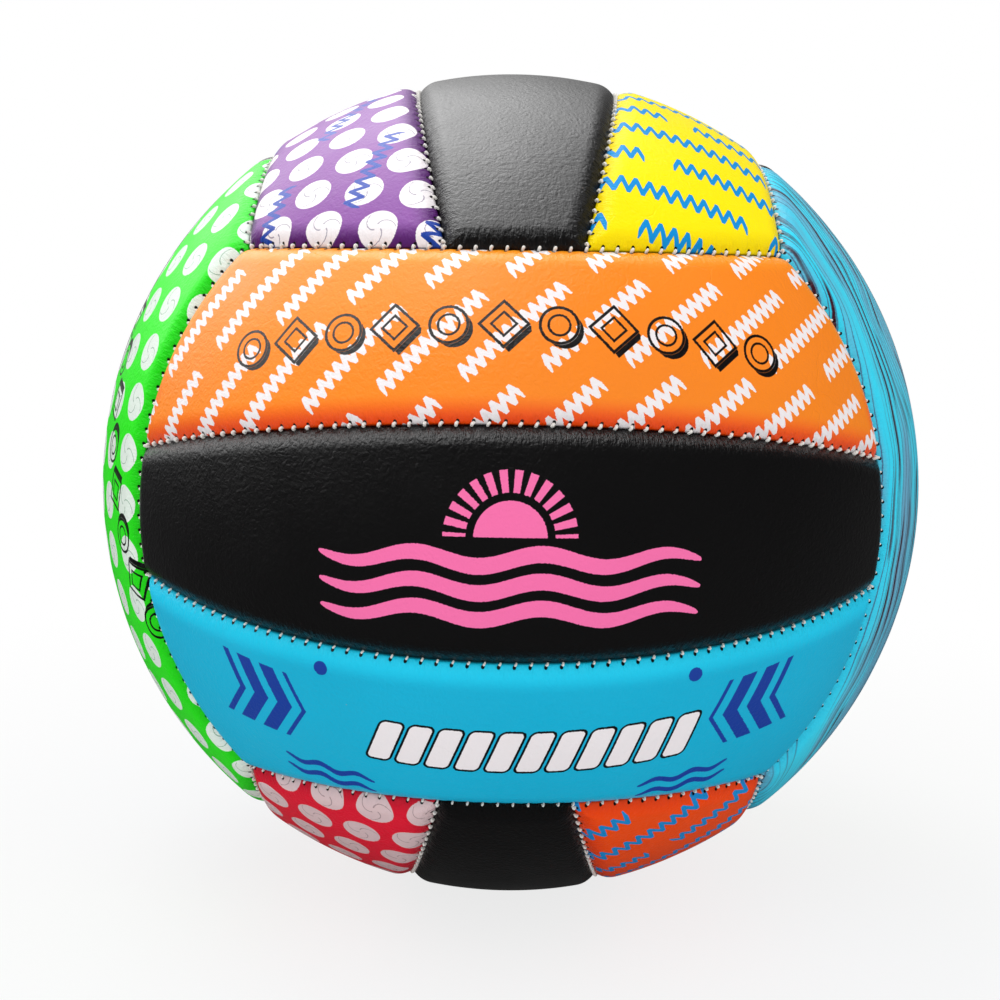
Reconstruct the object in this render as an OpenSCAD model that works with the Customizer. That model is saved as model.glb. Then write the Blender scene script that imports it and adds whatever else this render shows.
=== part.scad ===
// An eighteen-panel, machine-stitched volleyball.
// Six faces of three strips each cover a ball. The strips of one face run square to
// the strips of its neighbours, so every strip's end meets the long side of another.
// Each panel is a printed skin whose edges turn inwards at the seams, with foam and
// lining cloth bonded inside it. A rubber bladder fills the cover, and its valve
// comes out through the middle panel of the back face.
// X runs along the front strips, Y away from the front face, and Z upwards.
// The origin is the middle of the ball.

/* [Ball] */
// Outside diameter of the inflated ball
ball_d = 210; // [204:1:216]
// Angle from the middle of a face to the seam beside its middle strip, in degrees
strip_angle = 13.7; // [12.7:0.1:15]

/* [Cover] */
// Thickness of a panel's printed skin
skin_t = 0.6; // [0.5:0.1:0.9]
// Thickness of the foam under the skin
foam_t = 3.2; // [2.6:0.1:3.6]
// Thickness of the lining cloth under the foam
lining_t = 0.4; // [0.3:0.1:0.6]
// Glue line between two bonded layers
glue_t = 0.1; // [0.08:0.01:0.15]
// Radius of the roll where a panel turns into a seam
edge_r = 7; // [6.5:0.1:9]
// Width of that roll, from the seam to where the panel is full height
edge_w = 5; // [4:0.1:5.5]
// Gap between the turned-in edges of two panels
seam_gap = 0.2; // [0.16:0.02:0.3]

/* [Thread] */
// Diameter of the seam thread
thread_d = 0.8; // [0.6:0.05:1]
// Length of bare seam from the end of a thread to the junction that it runs to
thread_stop = 1.4; // [1.2:0.1:2.5]

/* [Bladder] */
// Wall of the rubber bladder
bladder_t = 0.5; // [0.4:0.05:0.8]
// Gap between the bladder and the turned-in edges that it presses on
bladder_gap = 0.1; // [0.08:0.01:0.15]

/* [Valve] */
// Outside diameter of the valve seat's neck
neck_d = 12; // [11:0.1:14]
// Length of the neck, from its mouth to its inner end
neck_len = 21; // [18.5:0.5:26]
// Diameter of the seat's flange, which is bonded to the bladder
flange_d = 32; // [26:1:36]
// Thickness of the flange
flange_t = 1; // [0.8:0.1:1.4]
// Diameter of the cloth patch that strengthens the panel behind the valve hole
patch_d = 38; // [34:1:40]
// Thickness of the patch
patch_t = 0.4; // [0.3:0.1:0.6]
// How far the mouth of the valve lies below the outside of the ball
mouth_drop = 0.4; // [0.2:0.1:0.8]
// Diameter of the valve core's stem
stem_d = 6.6; // [6:0.1:7]
// Length of the valve core, from its head's face to its tip
core_len = 18; // [14:0.5:18]
// Diameter of the valve core's head
head_d = 9; // [8.4:0.1:9.6]
// Thickness of the head
head_t = 2; // [1.5:0.1:3]
// Length of the tapered tip
tip_len = 3; // [2:0.1:4]
// Diameter of the tip's end
tip_d = 5; // [4.4:0.1:5.6]
// Diameter of the guide bore that takes an inflating needle
needle_d = 2.2; // [2:0.05:2.6]
// Length of the guide bore, below its funnel
needle_len = 6; // [4:0.1:8]
// Diameter of the funnel at the mouth of the guide bore
funnel_d = 4; // [3:0.1:5]
// Depth of the funnel
funnel_depth = 1.2; // [0.8:0.1:1.6]
// Width of the slit that closes behind the needle
slit_w = 0.3; // [0.2:0.05:0.5]
// Length of the slit across the core
slit_len = 1.8; // [1.2:0.1:1.9]
// Radial clearance of the core in its seat
core_fit = 0.05; // [0.03:0.01:0.08]
// Radial clearance of the neck in the holes that it passes through
neck_fit = 0.1; // [0.08:0.01:0.2]

/* [Hidden] */
$fn = 144;
ball_r = ball_d / 2;
overrun = 1;
// The six faces tile the ball exactly when each ends at this angle from its own middle.
face_angle = acos(1 / sqrt(3));
// Latitude of the seam between two faces, about either face's axis
face_latitude = 90 - face_angle;
// Half of the turn along a face's long side, which runs from corner to corner
corner_turn = 45;
// Half of the turn along the seam beside a middle strip
strip_turn = acos(cos(face_angle) / cos(strip_angle));
// Half of a whole turn, and how far a shorter cut runs past the end of its seam
whole_turn = 180;
past_turn = 9;
// Small rise of a roll's centre, so that the roll crosses the sphere instead of only touching it
roll_lift = 0.02;
roll_centre = ball_r - edge_r + roll_lift;
roll_angle = edge_w / ball_r * 180 / PI;
// Depths below the outside of the ball, from the foam down to the bladder
foam_top = skin_t + glue_t;
lining_top = foam_top + foam_t + glue_t;
patch_top = lining_top + lining_t + glue_t;
flange_top = patch_top + patch_t + glue_t;
hem_depth = flange_top + flange_t + glue_t - bladder_gap;
bladder_r = ball_r - hem_depth - bladder_gap;
// Distances from a seam to the outside of a turned-in edge, and to the layers inside it
hem_off = seam_gap / 2;
layer_off = hem_off + skin_t + glue_t;
thread_r = thread_d / 2;
// A thread rests between the two rolls of its seam, with the same small gap to both.
thread_rest = edge_r + thread_r + hem_off;
thread_side = roll_centre * sin(roll_angle);
thread_seat = roll_centre * cos(roll_angle) + sqrt(thread_rest * thread_rest - thread_side * thread_side);
neck_hole_r = neck_d / 2 + neck_fit;
mouth_r = ball_r - mouth_drop;
core_back = mouth_r - core_len;
bore_end = mouth_r - funnel_depth - needle_len;

// Each face has a name, two turns that carry it from facing up to its place, and the names
// and colours of its strips. Side 1 is the strip at the face's own +Y, 0 the middle and -1 at -Y.
FACES = [
    ["front", [0, 0, 0], [90, 0, 0], [["upper", "darkorange"], ["middle", "black"], ["lower", "deepskyblue"]]],
    ["back", [0, 0, 180], [90, 0, 0], [["upper", "darkorange"], ["middle", "black"], ["lower", "deepskyblue"]]],
    ["right", [0, 90, 0], [0, 0, 180], [["front", "lightblue"], ["middle", "black"], ["back", "limegreen"]]],
    ["left", [0, -90, 0], [0, 0, 0], [["back", "lightblue"], ["middle", "black"], ["front", "limegreen"]]],
    ["top", [0, 0, 90], [0, 0, 0], [["left", "rebeccapurple"], ["middle", "black"], ["right", "gold"]]],
    ["bottom", [0, 180, 0], [0, 0, 90], [["right", "orangered"], ["middle", "black"], ["left", "crimson"]]]
];
SIDES = [1, 0, -1];
VALVE_FACE = FACES[1];

function strip_name(face, i) = str(face[0], "_", face[3][i][0]);

// A face is drawn looking up with its strips along X, and then turned to its place.
module in_place(face) {
    rotate(face[1]) rotate(face[2]) children();
}

// A ball whose poles lie beside the face and not on it.
module ball(depth) {
    rotate([90, 0, 0]) sphere(ball_r - depth);
}

// A ball's outer layer, between two depths.
module shell(top, bottom) {
    difference() {
        ball(top);
        ball(bottom);
    }
}

// Everything within the circle that ends the strips of a face, kept this far from the seam.
module inside_ends(off) {
    reach = ball_r + overrun;
    translate([0, 0, off / sin(face_angle)])
        rotate([0, 0, 90])
        cylinder(h = reach, r1 = 0, r2 = reach * tan(face_angle));
}

// Everything past the long side of a face, with this much of the face beside the seam.
module past_long_side(side, off) {
    reach = ball_r + overrun;
    rotate([-90 * side, 0, 0])
        translate([0, 0, -off / sin(face_angle)])
        cylinder(h = reach, r1 = 0, r2 = reach * tan(face_angle));
}

// The wedge between the radial planes beside one strip, kept this far from them.
module strip_wedge(side, off) {
    reach = ball_r + overrun;
    half = reach * tan(strip_angle);
    near = off / sin(strip_angle);
    low = off / cos(strip_angle);
    points = side == 0
        ? [[0, near], [half, near + reach], [-half, near + reach]]
        : [[side * low, 0], [side * reach, 0], [side * reach, reach], [side * (half + low), reach]];
    rotate([90, 0, 90])
        linear_extrude(height = 2 * reach, center = true)
        polygon(points);
}

// What is cut away to roll a panel's edge over into a seam. The seam lies at a latitude about
// this shape's own axis, and rise is 1 where the panel lies above it and -1 where below.
// The cut turns this far to each side of +X.
module roll(latitude, rise, depth, turn) {
    start = latitude + rise * roll_angle;
    rotate([0, 0, -turn])
        rotate_extrude(angle = 2 * turn)
        translate([roll_centre * cos(start), roll_centre * sin(start)])
        rotate(start)
        difference() {
            translate([0, rise > 0 ? -edge_w - overrun : 0])
                square([edge_r + overrun, edge_w + overrun]);
            circle(edge_r - depth);
        }
}

// The rolls along all the edges of one strip of a face.
module strip_rolls(side, depth) {
    rotate([0, 0, 90]) roll(face_latitude, 1, depth, whole_turn);
    if (side == 0)
        for (s = [-1, 1])
            rotate([(90 - strip_angle) * s, 0, 0])
                rotate([0, 0, 90 * s])
                roll(0, 1, depth, strip_turn + past_turn);
    else {
        rotate([-(90 + strip_angle) * side, 0, 0]) roll(0, 1, depth, whole_turn);
        rotate([-90 * side, 0, 0]) roll(face_latitude, -1, depth, whole_turn);
    }
}

// One strip between two depths, kept this far from its seams.
module strip_layer(side, top, bottom, off) {
    difference() {
        intersection() {
            shell(top, bottom);
            inside_ends(off);
            strip_wedge(side, off);
        }
        if (side != 0) past_long_side(side, off);
    }
}

// The same strip with its outer edges rolled over.
module rolled_layer(side, top, bottom, off) {
    difference() {
        strip_layer(side, top, bottom, off);
        strip_rolls(side, top);
    }
}

// The hole for the valve's neck, in the middle strip of the valve's face.
module valve_hole(face, side) {
    if (face == VALVE_FACE && side == 0)
        cylinder(h = ball_r + overrun, r = neck_hole_r);
}

module panel(face, i) {
    side = SIDES[i];
    color(face[3][i][1])
        in_place(face)
        difference() {
            rolled_layer(side, 0, hem_depth, hem_off);
            rolled_layer(side, skin_t, hem_depth + overrun, hem_off + skin_t);
            valve_hole(face, side);
        }
}

module foam(face, i) {
    side = SIDES[i];
    color("whitesmoke")
        in_place(face)
        difference() {
            rolled_layer(side, foam_top, foam_top + foam_t, layer_off);
            valve_hole(face, side);
        }
}

module lining(face) {
    color("gainsboro")
        in_place(face)
        for (side = SIDES)
            difference() {
                strip_layer(side, lining_top, lining_top + lining_t, layer_off);
                valve_hole(face, side);
            }
}

// A thread lying in the groove of a seam, for this turn to each side of the seam's middle at +X.
module thread_arc(latitude, turn) {
    arc_r = thread_seat * cos(latitude);
    half = turn - thread_stop / arc_r * 180 / PI;
    rotate([0, 0, -half])
        rotate_extrude(angle = 2 * half)
        translate([arc_r, thread_seat * sin(latitude)])
        circle(thread_r);
}

// The two threads that join the three strips of a face.
module strip_threads(face) {
    color("white")
        in_place(face)
        for (s = [-1, 1])
            rotate([(90 - strip_angle) * s, 0, 0])
                rotate([0, 0, 90 * s])
                thread_arc(0, strip_turn);
}

// The two threads along the long sides of a face, which join it to its neighbours' ends.
module edge_threads(face) {
    color("white")
        in_place(face)
        for (s = [-1, 1])
            rotate([-90 * s, 0, 0])
                rotate([0, 0, -90 * s])
                thread_arc(face_latitude, corner_turn);
}

module bladder() {
    depth = ball_r - bladder_r;
    color("dimgray")
        in_place(VALVE_FACE)
        difference() {
            shell(depth, depth + bladder_t);
            cylinder(h = ball_r, r = neck_hole_r);
        }
}

// A rubber tube with a flange that is bonded to the outside of the bladder.
module valve_seat() {
    color("black")
        in_place(VALVE_FACE)
        difference() {
            union() {
                intersection() {
                    ball(mouth_drop);
                    translate([0, 0, mouth_r - neck_len]) cylinder(h = neck_len + overrun, r = neck_d / 2);
                }
                intersection() {
                    shell(flange_top, flange_top + flange_t);
                    cylinder(h = ball_r, r = flange_d / 2);
                }
            }
            translate([0, 0, mouth_r - neck_len - overrun])
                cylinder(h = neck_len + 2 * overrun, r = stem_d / 2 + core_fit);
            translate([0, 0, mouth_r - head_t - core_fit])
                cylinder(h = head_t + overrun, r = head_d / 2 + core_fit);
        }
}

// The plug that closes the seat. A needle pushes through its slit, which shuts behind it.
module valve_core() {
    stem_r = stem_d / 2;
    needle_r = needle_d / 2;
    color("dimgray")
        in_place(VALVE_FACE)
        difference() {
            intersection() {
                ball(mouth_drop);
                union() {
                    translate([0, 0, core_back]) cylinder(h = tip_len, r1 = tip_d / 2, r2 = stem_r);
                    translate([0, 0, core_back + tip_len]) cylinder(h = core_len - tip_len, r = stem_r);
                    translate([0, 0, mouth_r - head_t]) cylinder(h = head_t + overrun, r = head_d / 2);
                }
            }
            translate([0, 0, bore_end]) cylinder(h = ball_r - bore_end, r = needle_r);
            translate([0, 0, mouth_r - funnel_depth])
                cylinder(h = funnel_depth, r1 = needle_r, r2 = funnel_d / 2);
            translate([-slit_len / 2, -slit_w / 2, core_back - overrun])
                cube([slit_len, slit_w, bore_end - core_back + 2 * overrun]);
        }
}

module valve_patch() {
    color("silver")
        in_place(VALVE_FACE)
        difference() {
            intersection() {
                shell(patch_top, patch_top + patch_t);
                cylinder(h = ball_r, r = patch_d / 2);
            }
            cylinder(h = ball_r, r = neck_hole_r);
        }
}

for (face = FACES) {
    for (i = [0:2]) {
        panel(face, i);
        foam(face, i);
    }
    lining(face);
    strip_threads(face);
    edge_threads(face);
}
bladder();
valve_seat();
valve_core();
valve_patch();
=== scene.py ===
# %% [markdown]
# # A machine-stitched volleyball
# The real ball is a rubber bladder in a cloth-backed cover of eighteen printed strips. Six faces have three
# strips each, and the strips of one face run square to those of the faces beside it. This lesson dresses the
# CAD solids of that ball: finished skins, foam, linings, stitches, bladder and patch take the place of plain
# solids, and the valve keeps its shapes and gets its rubber. The CAD model is loaded first and is never
# moved.

# %% Load the CAD frame
import math

import bpy
from mathutils import Matrix, Vector


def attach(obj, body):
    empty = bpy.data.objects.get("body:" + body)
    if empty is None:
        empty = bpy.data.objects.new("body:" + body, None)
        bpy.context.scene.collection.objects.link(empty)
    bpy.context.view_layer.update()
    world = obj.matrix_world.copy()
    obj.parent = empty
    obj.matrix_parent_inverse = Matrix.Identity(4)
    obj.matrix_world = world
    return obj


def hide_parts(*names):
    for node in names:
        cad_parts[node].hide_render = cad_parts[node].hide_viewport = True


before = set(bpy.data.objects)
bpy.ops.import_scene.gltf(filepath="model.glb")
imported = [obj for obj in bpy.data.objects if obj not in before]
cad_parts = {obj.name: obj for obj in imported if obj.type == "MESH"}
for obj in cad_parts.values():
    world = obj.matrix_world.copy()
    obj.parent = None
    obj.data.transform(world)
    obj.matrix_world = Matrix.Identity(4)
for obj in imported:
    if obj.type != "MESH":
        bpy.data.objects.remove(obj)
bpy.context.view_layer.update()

# %% [markdown]
# ## Sizes
# Sizes are kept in metres here, as Blender wants them, and they repeat the CAD model's own values. The ball
# is 660 mm round, so 210 mm across. A skin is 0.6 mm of coated cloth, and its edge rolls over into the seam.
# Foam and lining are glued behind it.

# %% Sizes of the ball and its seams
MM = 0.001
BALL_R = 105 * MM
SKIN_T, FOAM_T, LINING_T, GLUE_T = 0.6 * MM, 3.2 * MM, 0.4 * MM, 0.1 * MM
HEM_DEPTH = 6 * MM
SEAM_GAP = 0.2 * MM
EDGE_R, EDGE_W = 7 * MM, 5 * MM
VALVE_HOLE_R = 6.1 * MM
STRIP_STITCHES, EDGE_STITCHES = 60, 40
print("ball", 2 * BALL_R, "m across")

# %% [markdown]
# ## Angles of the seams
# Every seam lies along a circle on the sphere. The two seams inside a face are parts of great circles,
# turned 13.7 degrees from the face's middle. A seam between two faces is a smaller circle through the
# corners of a cube inside the ball, which lie at 1 / sqrt(3) on each axis. From these facts come the angle
# that half a seam spans, and the place where a strip's own seam meets the end of the face.

# %% Angles of the seams
CORNER = 1 / math.sqrt(3)
CIRCLE = math.sqrt(2 / 3)
STRIP_ANGLE = math.radians(13.7)
STRIP_TURN = math.acos(CORNER / math.cos(STRIP_ANGLE))
EDGE_TURN, EDGE_LATITUDE = math.radians(45), math.asin(CORNER)
MEETING = math.asin(CORNER * math.tan(STRIP_ANGLE) / CIRCLE)
OUTER_MIDDLE = (STRIP_ANGLE + EDGE_LATITUDE) / 2
STRIP_PITCH = 2 * STRIP_TURN * BALL_R / STRIP_STITCHES
EDGE_PITCH = 2 * EDGE_TURN * CIRCLE * BALL_R / EDGE_STITCHES
print("stitch pitch in mm: in a face", round(STRIP_PITCH / MM, 2), "between faces", round(EDGE_PITCH / MM, 2))

# %% [markdown]
# ## Nodes written as sums
# Geometry and shading are both worked out by nodes. A small class wraps a socket and turns Python's own
# operators into nodes, so a rule reads as a sum. Numbers use Math nodes, and vectors use Vector Math. Every
# other node comes from one method, which sets a node's settings before its sockets.

# %% A socket that can stand in a sum
class Socket:
    """One output of a node, which can be added and multiplied like a number."""

    def __init__(self, nodes, socket):
        self.nodes = nodes
        self.socket = socket

    def __abs__(self):
        return self.nodes.maths("ABSOLUTE", self)

    def __neg__(self):
        return self * -1

    def output(self, name):
        """Another output of the same node."""
        return Socket(self.nodes, self.socket.node.outputs[name])

    def __getattr__(self, name):
        """Any other operation of the Math node by its name, such as angle.sine()."""
        return lambda *others: self.nodes.maths(name.upper(), self, *others)


def add_operator(sign, operation):
    """Let an operator of Python make a node, with the socket on either side."""
    setattr(Socket, f"__{sign}__", lambda self, other: self.nodes.maths(operation, self, other))
    setattr(Socket, f"__r{sign}__", lambda self, other: self.nodes.maths(operation, other, self))


OPERATORS = {"add": "ADD", "sub": "SUBTRACT", "mul": "MULTIPLY", "truediv": "DIVIDE", "pow": "POWER"}
for sign, operation in OPERATORS.items():
    add_operator(sign, operation)
print("sockets can stand in sums with:", list(OPERATORS))


# %% A node tree that makes nodes for sums
class Nodes:
    """A node tree. node() adds any node, and maths() adds the node of one sum."""

    def __init__(self, tree):
        self.tree = tree

    def put(self, socket, value):
        """Link a socket, or each one of a list, or else set a plain value."""
        if isinstance(value, (Socket, list)):
            for one in value if isinstance(value, list) else [value]:
                self.tree.links.new(one.socket, socket)
        else:
            socket.default_value = value

    def node(self, kind, settings={}, sockets={}, out=0):
        """Make any node: its settings first, then its sockets' values or links."""
        made = self.tree.nodes.new(kind)
        for name, value in settings.items():
            setattr(made, name, value)
        for name, value in sockets.items():
            self.put(made.inputs[name], value)
        return Socket(self, made.outputs[out]) if len(made.outputs) else made

    def maths(self, operation, *terms):
        """Make the node of one sum, for numbers or for vectors."""
        vectors = [isinstance(term, Socket) and term.socket.type in ("VECTOR", "RGBA") for term in terms]
        kind, sockets = "ShaderNodeVectorMath", dict(enumerate(terms))
        if not any(vectors):
            kind = "ShaderNodeMath"
        elif operation == "MULTIPLY" and not all(vectors):
            vector, number = terms if vectors[0] else reversed(terms)
            if not isinstance(number, (tuple, Vector)):
                operation, sockets = "SCALE", {"Vector": vector, "Scale": number}
        return self.node(kind, {"operation": operation}, sockets)


# %% [markdown]
# A few short words keep the later cells readable: splitting and joining vectors, blending two values by a
# share, and a soft step. Each adds its node to the tree that its socket is in.

# %% Words for vectors, masks and steps
def split(vector):
    """The three numbers of a vector."""
    x = vector.nodes.node("ShaderNodeSeparateXYZ", {}, {0: vector})
    return x, x.output(1), x.output(2)


def join(*numbers):
    """A vector from numbers of which at least one is a socket."""
    tree = next(number.nodes for number in numbers if isinstance(number, Socket))
    return tree.node("ShaderNodeCombineXYZ", {}, dict(enumerate(numbers)))


def blend(low, high, share):
    """low where share is 0 and high where it is 1, for numbers."""
    return low + (high - low) * share


def step(value, start, end, low=0.0, high=1.0):
    """A smooth change from low to high as value goes from start to end."""
    settings = {"interpolation_type": "SMOOTHSTEP"}
    return value.nodes.node("ShaderNodeMapRange", settings, {0: value, 1: start, 2: end, 3: low, 4: high})


def clamped(value):
    return value.nodes.node("ShaderNodeMath", {"operation": "ADD", "use_clamp": True}, {0: value, 1: 0.0})


# %% [markdown]
# ## One strip as a rule
# A strip is a patch of the sphere between four seams. The tree starts from a box with many cells along and
# across and one through, so the patch is closed and has two sides. The box's x and y say where a point is
# between the seams. A Coons patch, which blends the four edge curves, turns that into a direction from the
# ball's centre. The far seam can be a great circle or the smaller circle between two faces, so one tree
# makes all eighteen strips.

# %% Inputs of the strip tree
STRIP_INPUTS = {
    "Ball Radius": BALL_R, "Skin Thickness": SKIN_T, "Hem Depth": HEM_DEPTH, "Seam Gap": SEAM_GAP,
    "Edge Radius": EDGE_R, "Edge Width": EDGE_W, "Outer Strip": 0.0, "Print Turn": 1.0,
    "Near Seam Angle": -STRIP_ANGLE, "Far Seam Angle": STRIP_ANGLE, "Middle Angle": 0.0,
    "End Start": -MEETING, "End Stop": MEETING,
    "Top Depth": 0.0, "Wall": SKIN_T, "Flat Below": 0.0, "Valve Hole Radius": 0.0, "Pucker": 0.16 * MM,
    "Waviness": 0.35 * MM, "Seed": 0.0, "Cells Along": 240, "Cells Across": 56,
    "Face Along": (1, 0, 0), "Face Across": (0, 1, 0), "Face Out": (0, 0, 1), "Material": None,
}
SOCKET_TYPES = {float: "NodeSocketFloat", int: "NodeSocketInt", tuple: "NodeSocketVector"}


def new_geometry_tree(name, inputs):
    """An empty geometry tree, and its named inputs as sockets for sums."""
    tree = bpy.data.node_groups.new(name, "GeometryNodeTree")
    tree.interface.new_socket("Geometry", in_out="OUTPUT", socket_type="NodeSocketGeometry")
    for label, value in inputs.items():
        kind = SOCKET_TYPES.get(type(value), "NodeSocketMaterial")
        made = tree.interface.new_socket(label, in_out="INPUT", socket_type=kind)
        if value is not None:
            made.default_value = value
    nodes = Nodes(tree)
    first = nodes.node("NodeGroupInput")
    return nodes, {label: first.output(label) for label in inputs}


def stored(geometry, name, value):
    settings = {"data_type": "FLOAT_VECTOR", "domain": "POINT"}
    sockets = {"Geometry": geometry, "Name": name, "Value": value}
    return geometry.nodes.node("GeometryNodeStoreNamedAttribute", settings, sockets)


def end_tree(geometry, material):
    """The end of a tree: real, smooth geometry with its material."""
    nodes = geometry.nodes
    real = nodes.node("GeometryNodeRealizeInstances", {}, {"Geometry": geometry})
    smooth = nodes.node("GeometryNodeSetShadeSmooth", {}, {"Geometry": real})
    dressed = nodes.node("GeometryNodeSetMaterial", {}, {"Geometry": smooth, "Material": material})
    nodes.node("NodeGroupOutput", {}, {"Geometry": dressed})
    print(nodes.tree.name, "has", len(nodes.tree.nodes), "nodes")


shape, strip = new_geometry_tree("strip_panel", STRIP_INPUTS)
ball_r, skin_t, hole_r = strip["Ball Radius"], strip["Skin Thickness"], strip["Valve Hole Radius"]
near_angle, far_angle, outer_strip = strip["Near Seam Angle"], strip["Far Seam Angle"], strip["Outer Strip"]
print("strip tree takes", len(STRIP_INPUTS), "inputs")

# %% [markdown]
# The last row of cells on every side is the hem, which turns down into the seam. What is left of x and y is
# stretched back to -1 to 1. Across, the cells are closer together near the seams, where the skin bends most.

# %% From box cells to places between the seams
CROWDING = 0.2

box = shape.node("GeometryNodeMeshCube", {}, {
    "Size": (1, 1, 1), "Vertices X": strip["Cells Along"] + 3, "Vertices Y": strip["Cells Across"] + 3,
    "Vertices Z": 2})
box_x, box_y, box_z = split(shape.node("GeometryNodeInputPosition"))
inner = box_z.less_than(0)


def rim_place(coordinate, cells):
    """The place from -1 to 1 between two seams, and the share that is hem past them."""
    rim = cells / (cells + 2)
    reach = abs(coordinate) * 2
    return coordinate.sign() * (reach / rim).minimum(1), clamped((reach - rim) / (1 - rim))


along, hem_along = rim_place(box_x, strip["Cells Along"])
across, hem_across = rim_place(box_y, strip["Cells Across"])
crowded = across * (1 + CROWDING - CROWDING * across * across)
share = (crowded + 1) / 2
hem = hem_along.maximum(hem_across)

# %% The four edge curves and the patch between them
def great_circle_edge(turn, angle):
    """A point of a seam inside the face, this far round from the middle line."""
    return turn.sine(), turn.cosine() * angle.sine(), turn.cosine() * angle.cosine()


turn = along * STRIP_TURN
near = great_circle_edge(turn, near_angle)
far_inside = great_circle_edge(turn, far_angle)
beside = along * EDGE_TURN
far_outside = (CIRCLE * beside.sine(), CORNER, CIRCLE * beside.cosine())
far = [blend(a, b, outer_strip) for a, b in zip(far_inside, far_outside)]
end_angle = blend(strip["End Start"], strip["End Stop"], share)
end_x, end_y = CIRCLE * end_angle.cosine(), CIRCLE * end_angle.sine()
corner_x = [CIRCLE * strip[end].cosine() for end in ("End Start", "End Stop")]
corner_y = [CIRCLE * strip[end].sine() for end in ("End Start", "End Stop")]
patch_x = blend(near[0], far[0], share) + along * (end_x - blend(*corner_x, share))
patch_y = blend(near[1], far[1], share) + end_y - blend(*corner_y, share)
patch = join(patch_x, patch_y, blend(near[2], far[2], share))
direction = patch.normalize()

# %% [markdown]
# ### Distances to the seams
# What happens at an edge depends on how far away the seam is. On a sphere that is the radius times an arc
# sine, so it follows from a point's direction alone. The same function serves the shape and, later, the
# shader.

# %% Distances from a point to its three seams
def great_circle_distance(y, z, angle):
    """Distance in radians from a seam inside the face, positive on the side of higher angles."""
    return (y * angle.cosine() - z * angle.sine()).arcsine()


def seam_distances(point):
    """Distances in radians to the near seam, the far seam and the nearest end."""
    _, y, z = split(point)
    to_near = great_circle_distance(y, z, near_angle)
    to_far_inside = -great_circle_distance(y, z, far_angle)
    to_far_outside = EDGE_LATITUDE - y.arcsine()
    to_far = blend(to_far_inside, to_far_outside, outer_strip)
    return to_near, to_far, z.arcsine() - EDGE_LATITUDE


# %% [markdown]
# ### Stepping back from the seams
# Two skins must not touch, so each one ends half a gap short of its seam, and the inside wall of a hem lies
# a skin further in. The points are pushed away from a seam only where they are close to it.

# %% Push the edge back by half the gap
FADE = 3 * MM
edge_off = strip["Seam Gap"] / 2 + inner * strip["Wall"]
off_angle = edge_off / ball_r
to_near, to_far, to_end = [d * ball_r for d in seam_distances(direction)]
push_near, push_far, push_end = [step(d, 0.0, FADE, 1.0, 0.0) for d in (to_near, to_far, to_end)]
from_near = join(0.0, near_angle.cosine(), -near_angle.sine())
far_y = blend(-far_angle.cosine(), -1 / CIRCLE, outer_strip)
from_far = join(0.0, far_y, far_angle.sine() * (1 - outer_strip))
from_end = join(0.0, 0.0, push_end * (1 / CIRCLE))
pushed = direction + (from_near * push_near + from_far * push_far + from_end) * off_angle
place = pushed.normalize()

# %% [markdown]
# ### The rolled edge
# Near a seam the skin follows a small roll of 7 mm radius and drops 2 mm. The drops towards two seams are
# joined by a cube root of cubes, which gives each corner a soft dip. Every stitch pulls the edge down a
# little more, in step with the thread's pitch. A slow noise makes the panels slightly uneven, as foam and
# lining do.

# %% How far a point lies below the sphere
PUCKER_REACH = 2.6 * MM
SLOW_SCALE = 4.5


def stitch_run(point):
    """Stitches counted along the face's inner seams, its long sides and its ends."""
    x, y, z = split(point)
    in_face = x.arcsine() * (STRIP_STITCHES / (2 * STRIP_TURN))
    long_side = x.arctan2(z) * (EDGE_STITCHES / (2 * EDGE_TURN))
    at_end = y.arctan2(abs(x)) * x.sign() * (EDGE_STITCHES / (2 * EDGE_TURN))
    return in_face, long_side, at_end


def pull(run, distance, start, reach):
    """How strongly the nearest stitch pulls the skin, from 0 to 1."""
    wave = 0.5 - 0.5 * (run * (2 * math.pi)).cosine()
    return wave * step(distance, start, reach, 1.0, 0.0)


roll_r = strip["Edge Radius"] - inner * skin_t
distances = [d * ball_r - edge_off for d in seam_distances(place)]
reach_in = [(strip["Edge Width"] - d).maximum(0) for d in distances]
drops = [roll_r - (roll_r * roll_r - q * q).sqrt() for q in reach_in]
drop = (drops[0] ** 3 + drops[1] ** 3 + drops[2] ** 3) ** (1 / 3)
in_face, long_side, at_end = stitch_run(place)
runs = in_face, blend(in_face, long_side, outer_strip), at_end
pulls = [pull(run, distance, 0.0, PUCKER_REACH) for run, distance in zip(runs, distances)]
slow_noise = shape.node("ShaderNodeTexNoise", {"noise_dimensions": "4D"}, {
    "Vector": place, "W": strip["Seed"], "Scale": SLOW_SCALE, "Detail": 2.0})
uneven = (slow_noise - 0.5) * strip["Waviness"]
puckers = pulls[0].maximum(pulls[1]).maximum(pulls[2]) * strip["Pucker"]

# %% Set the points, close the corners and cut the valve hole
WELD, DRILL_SIDES = 1e-6, 96

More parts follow.
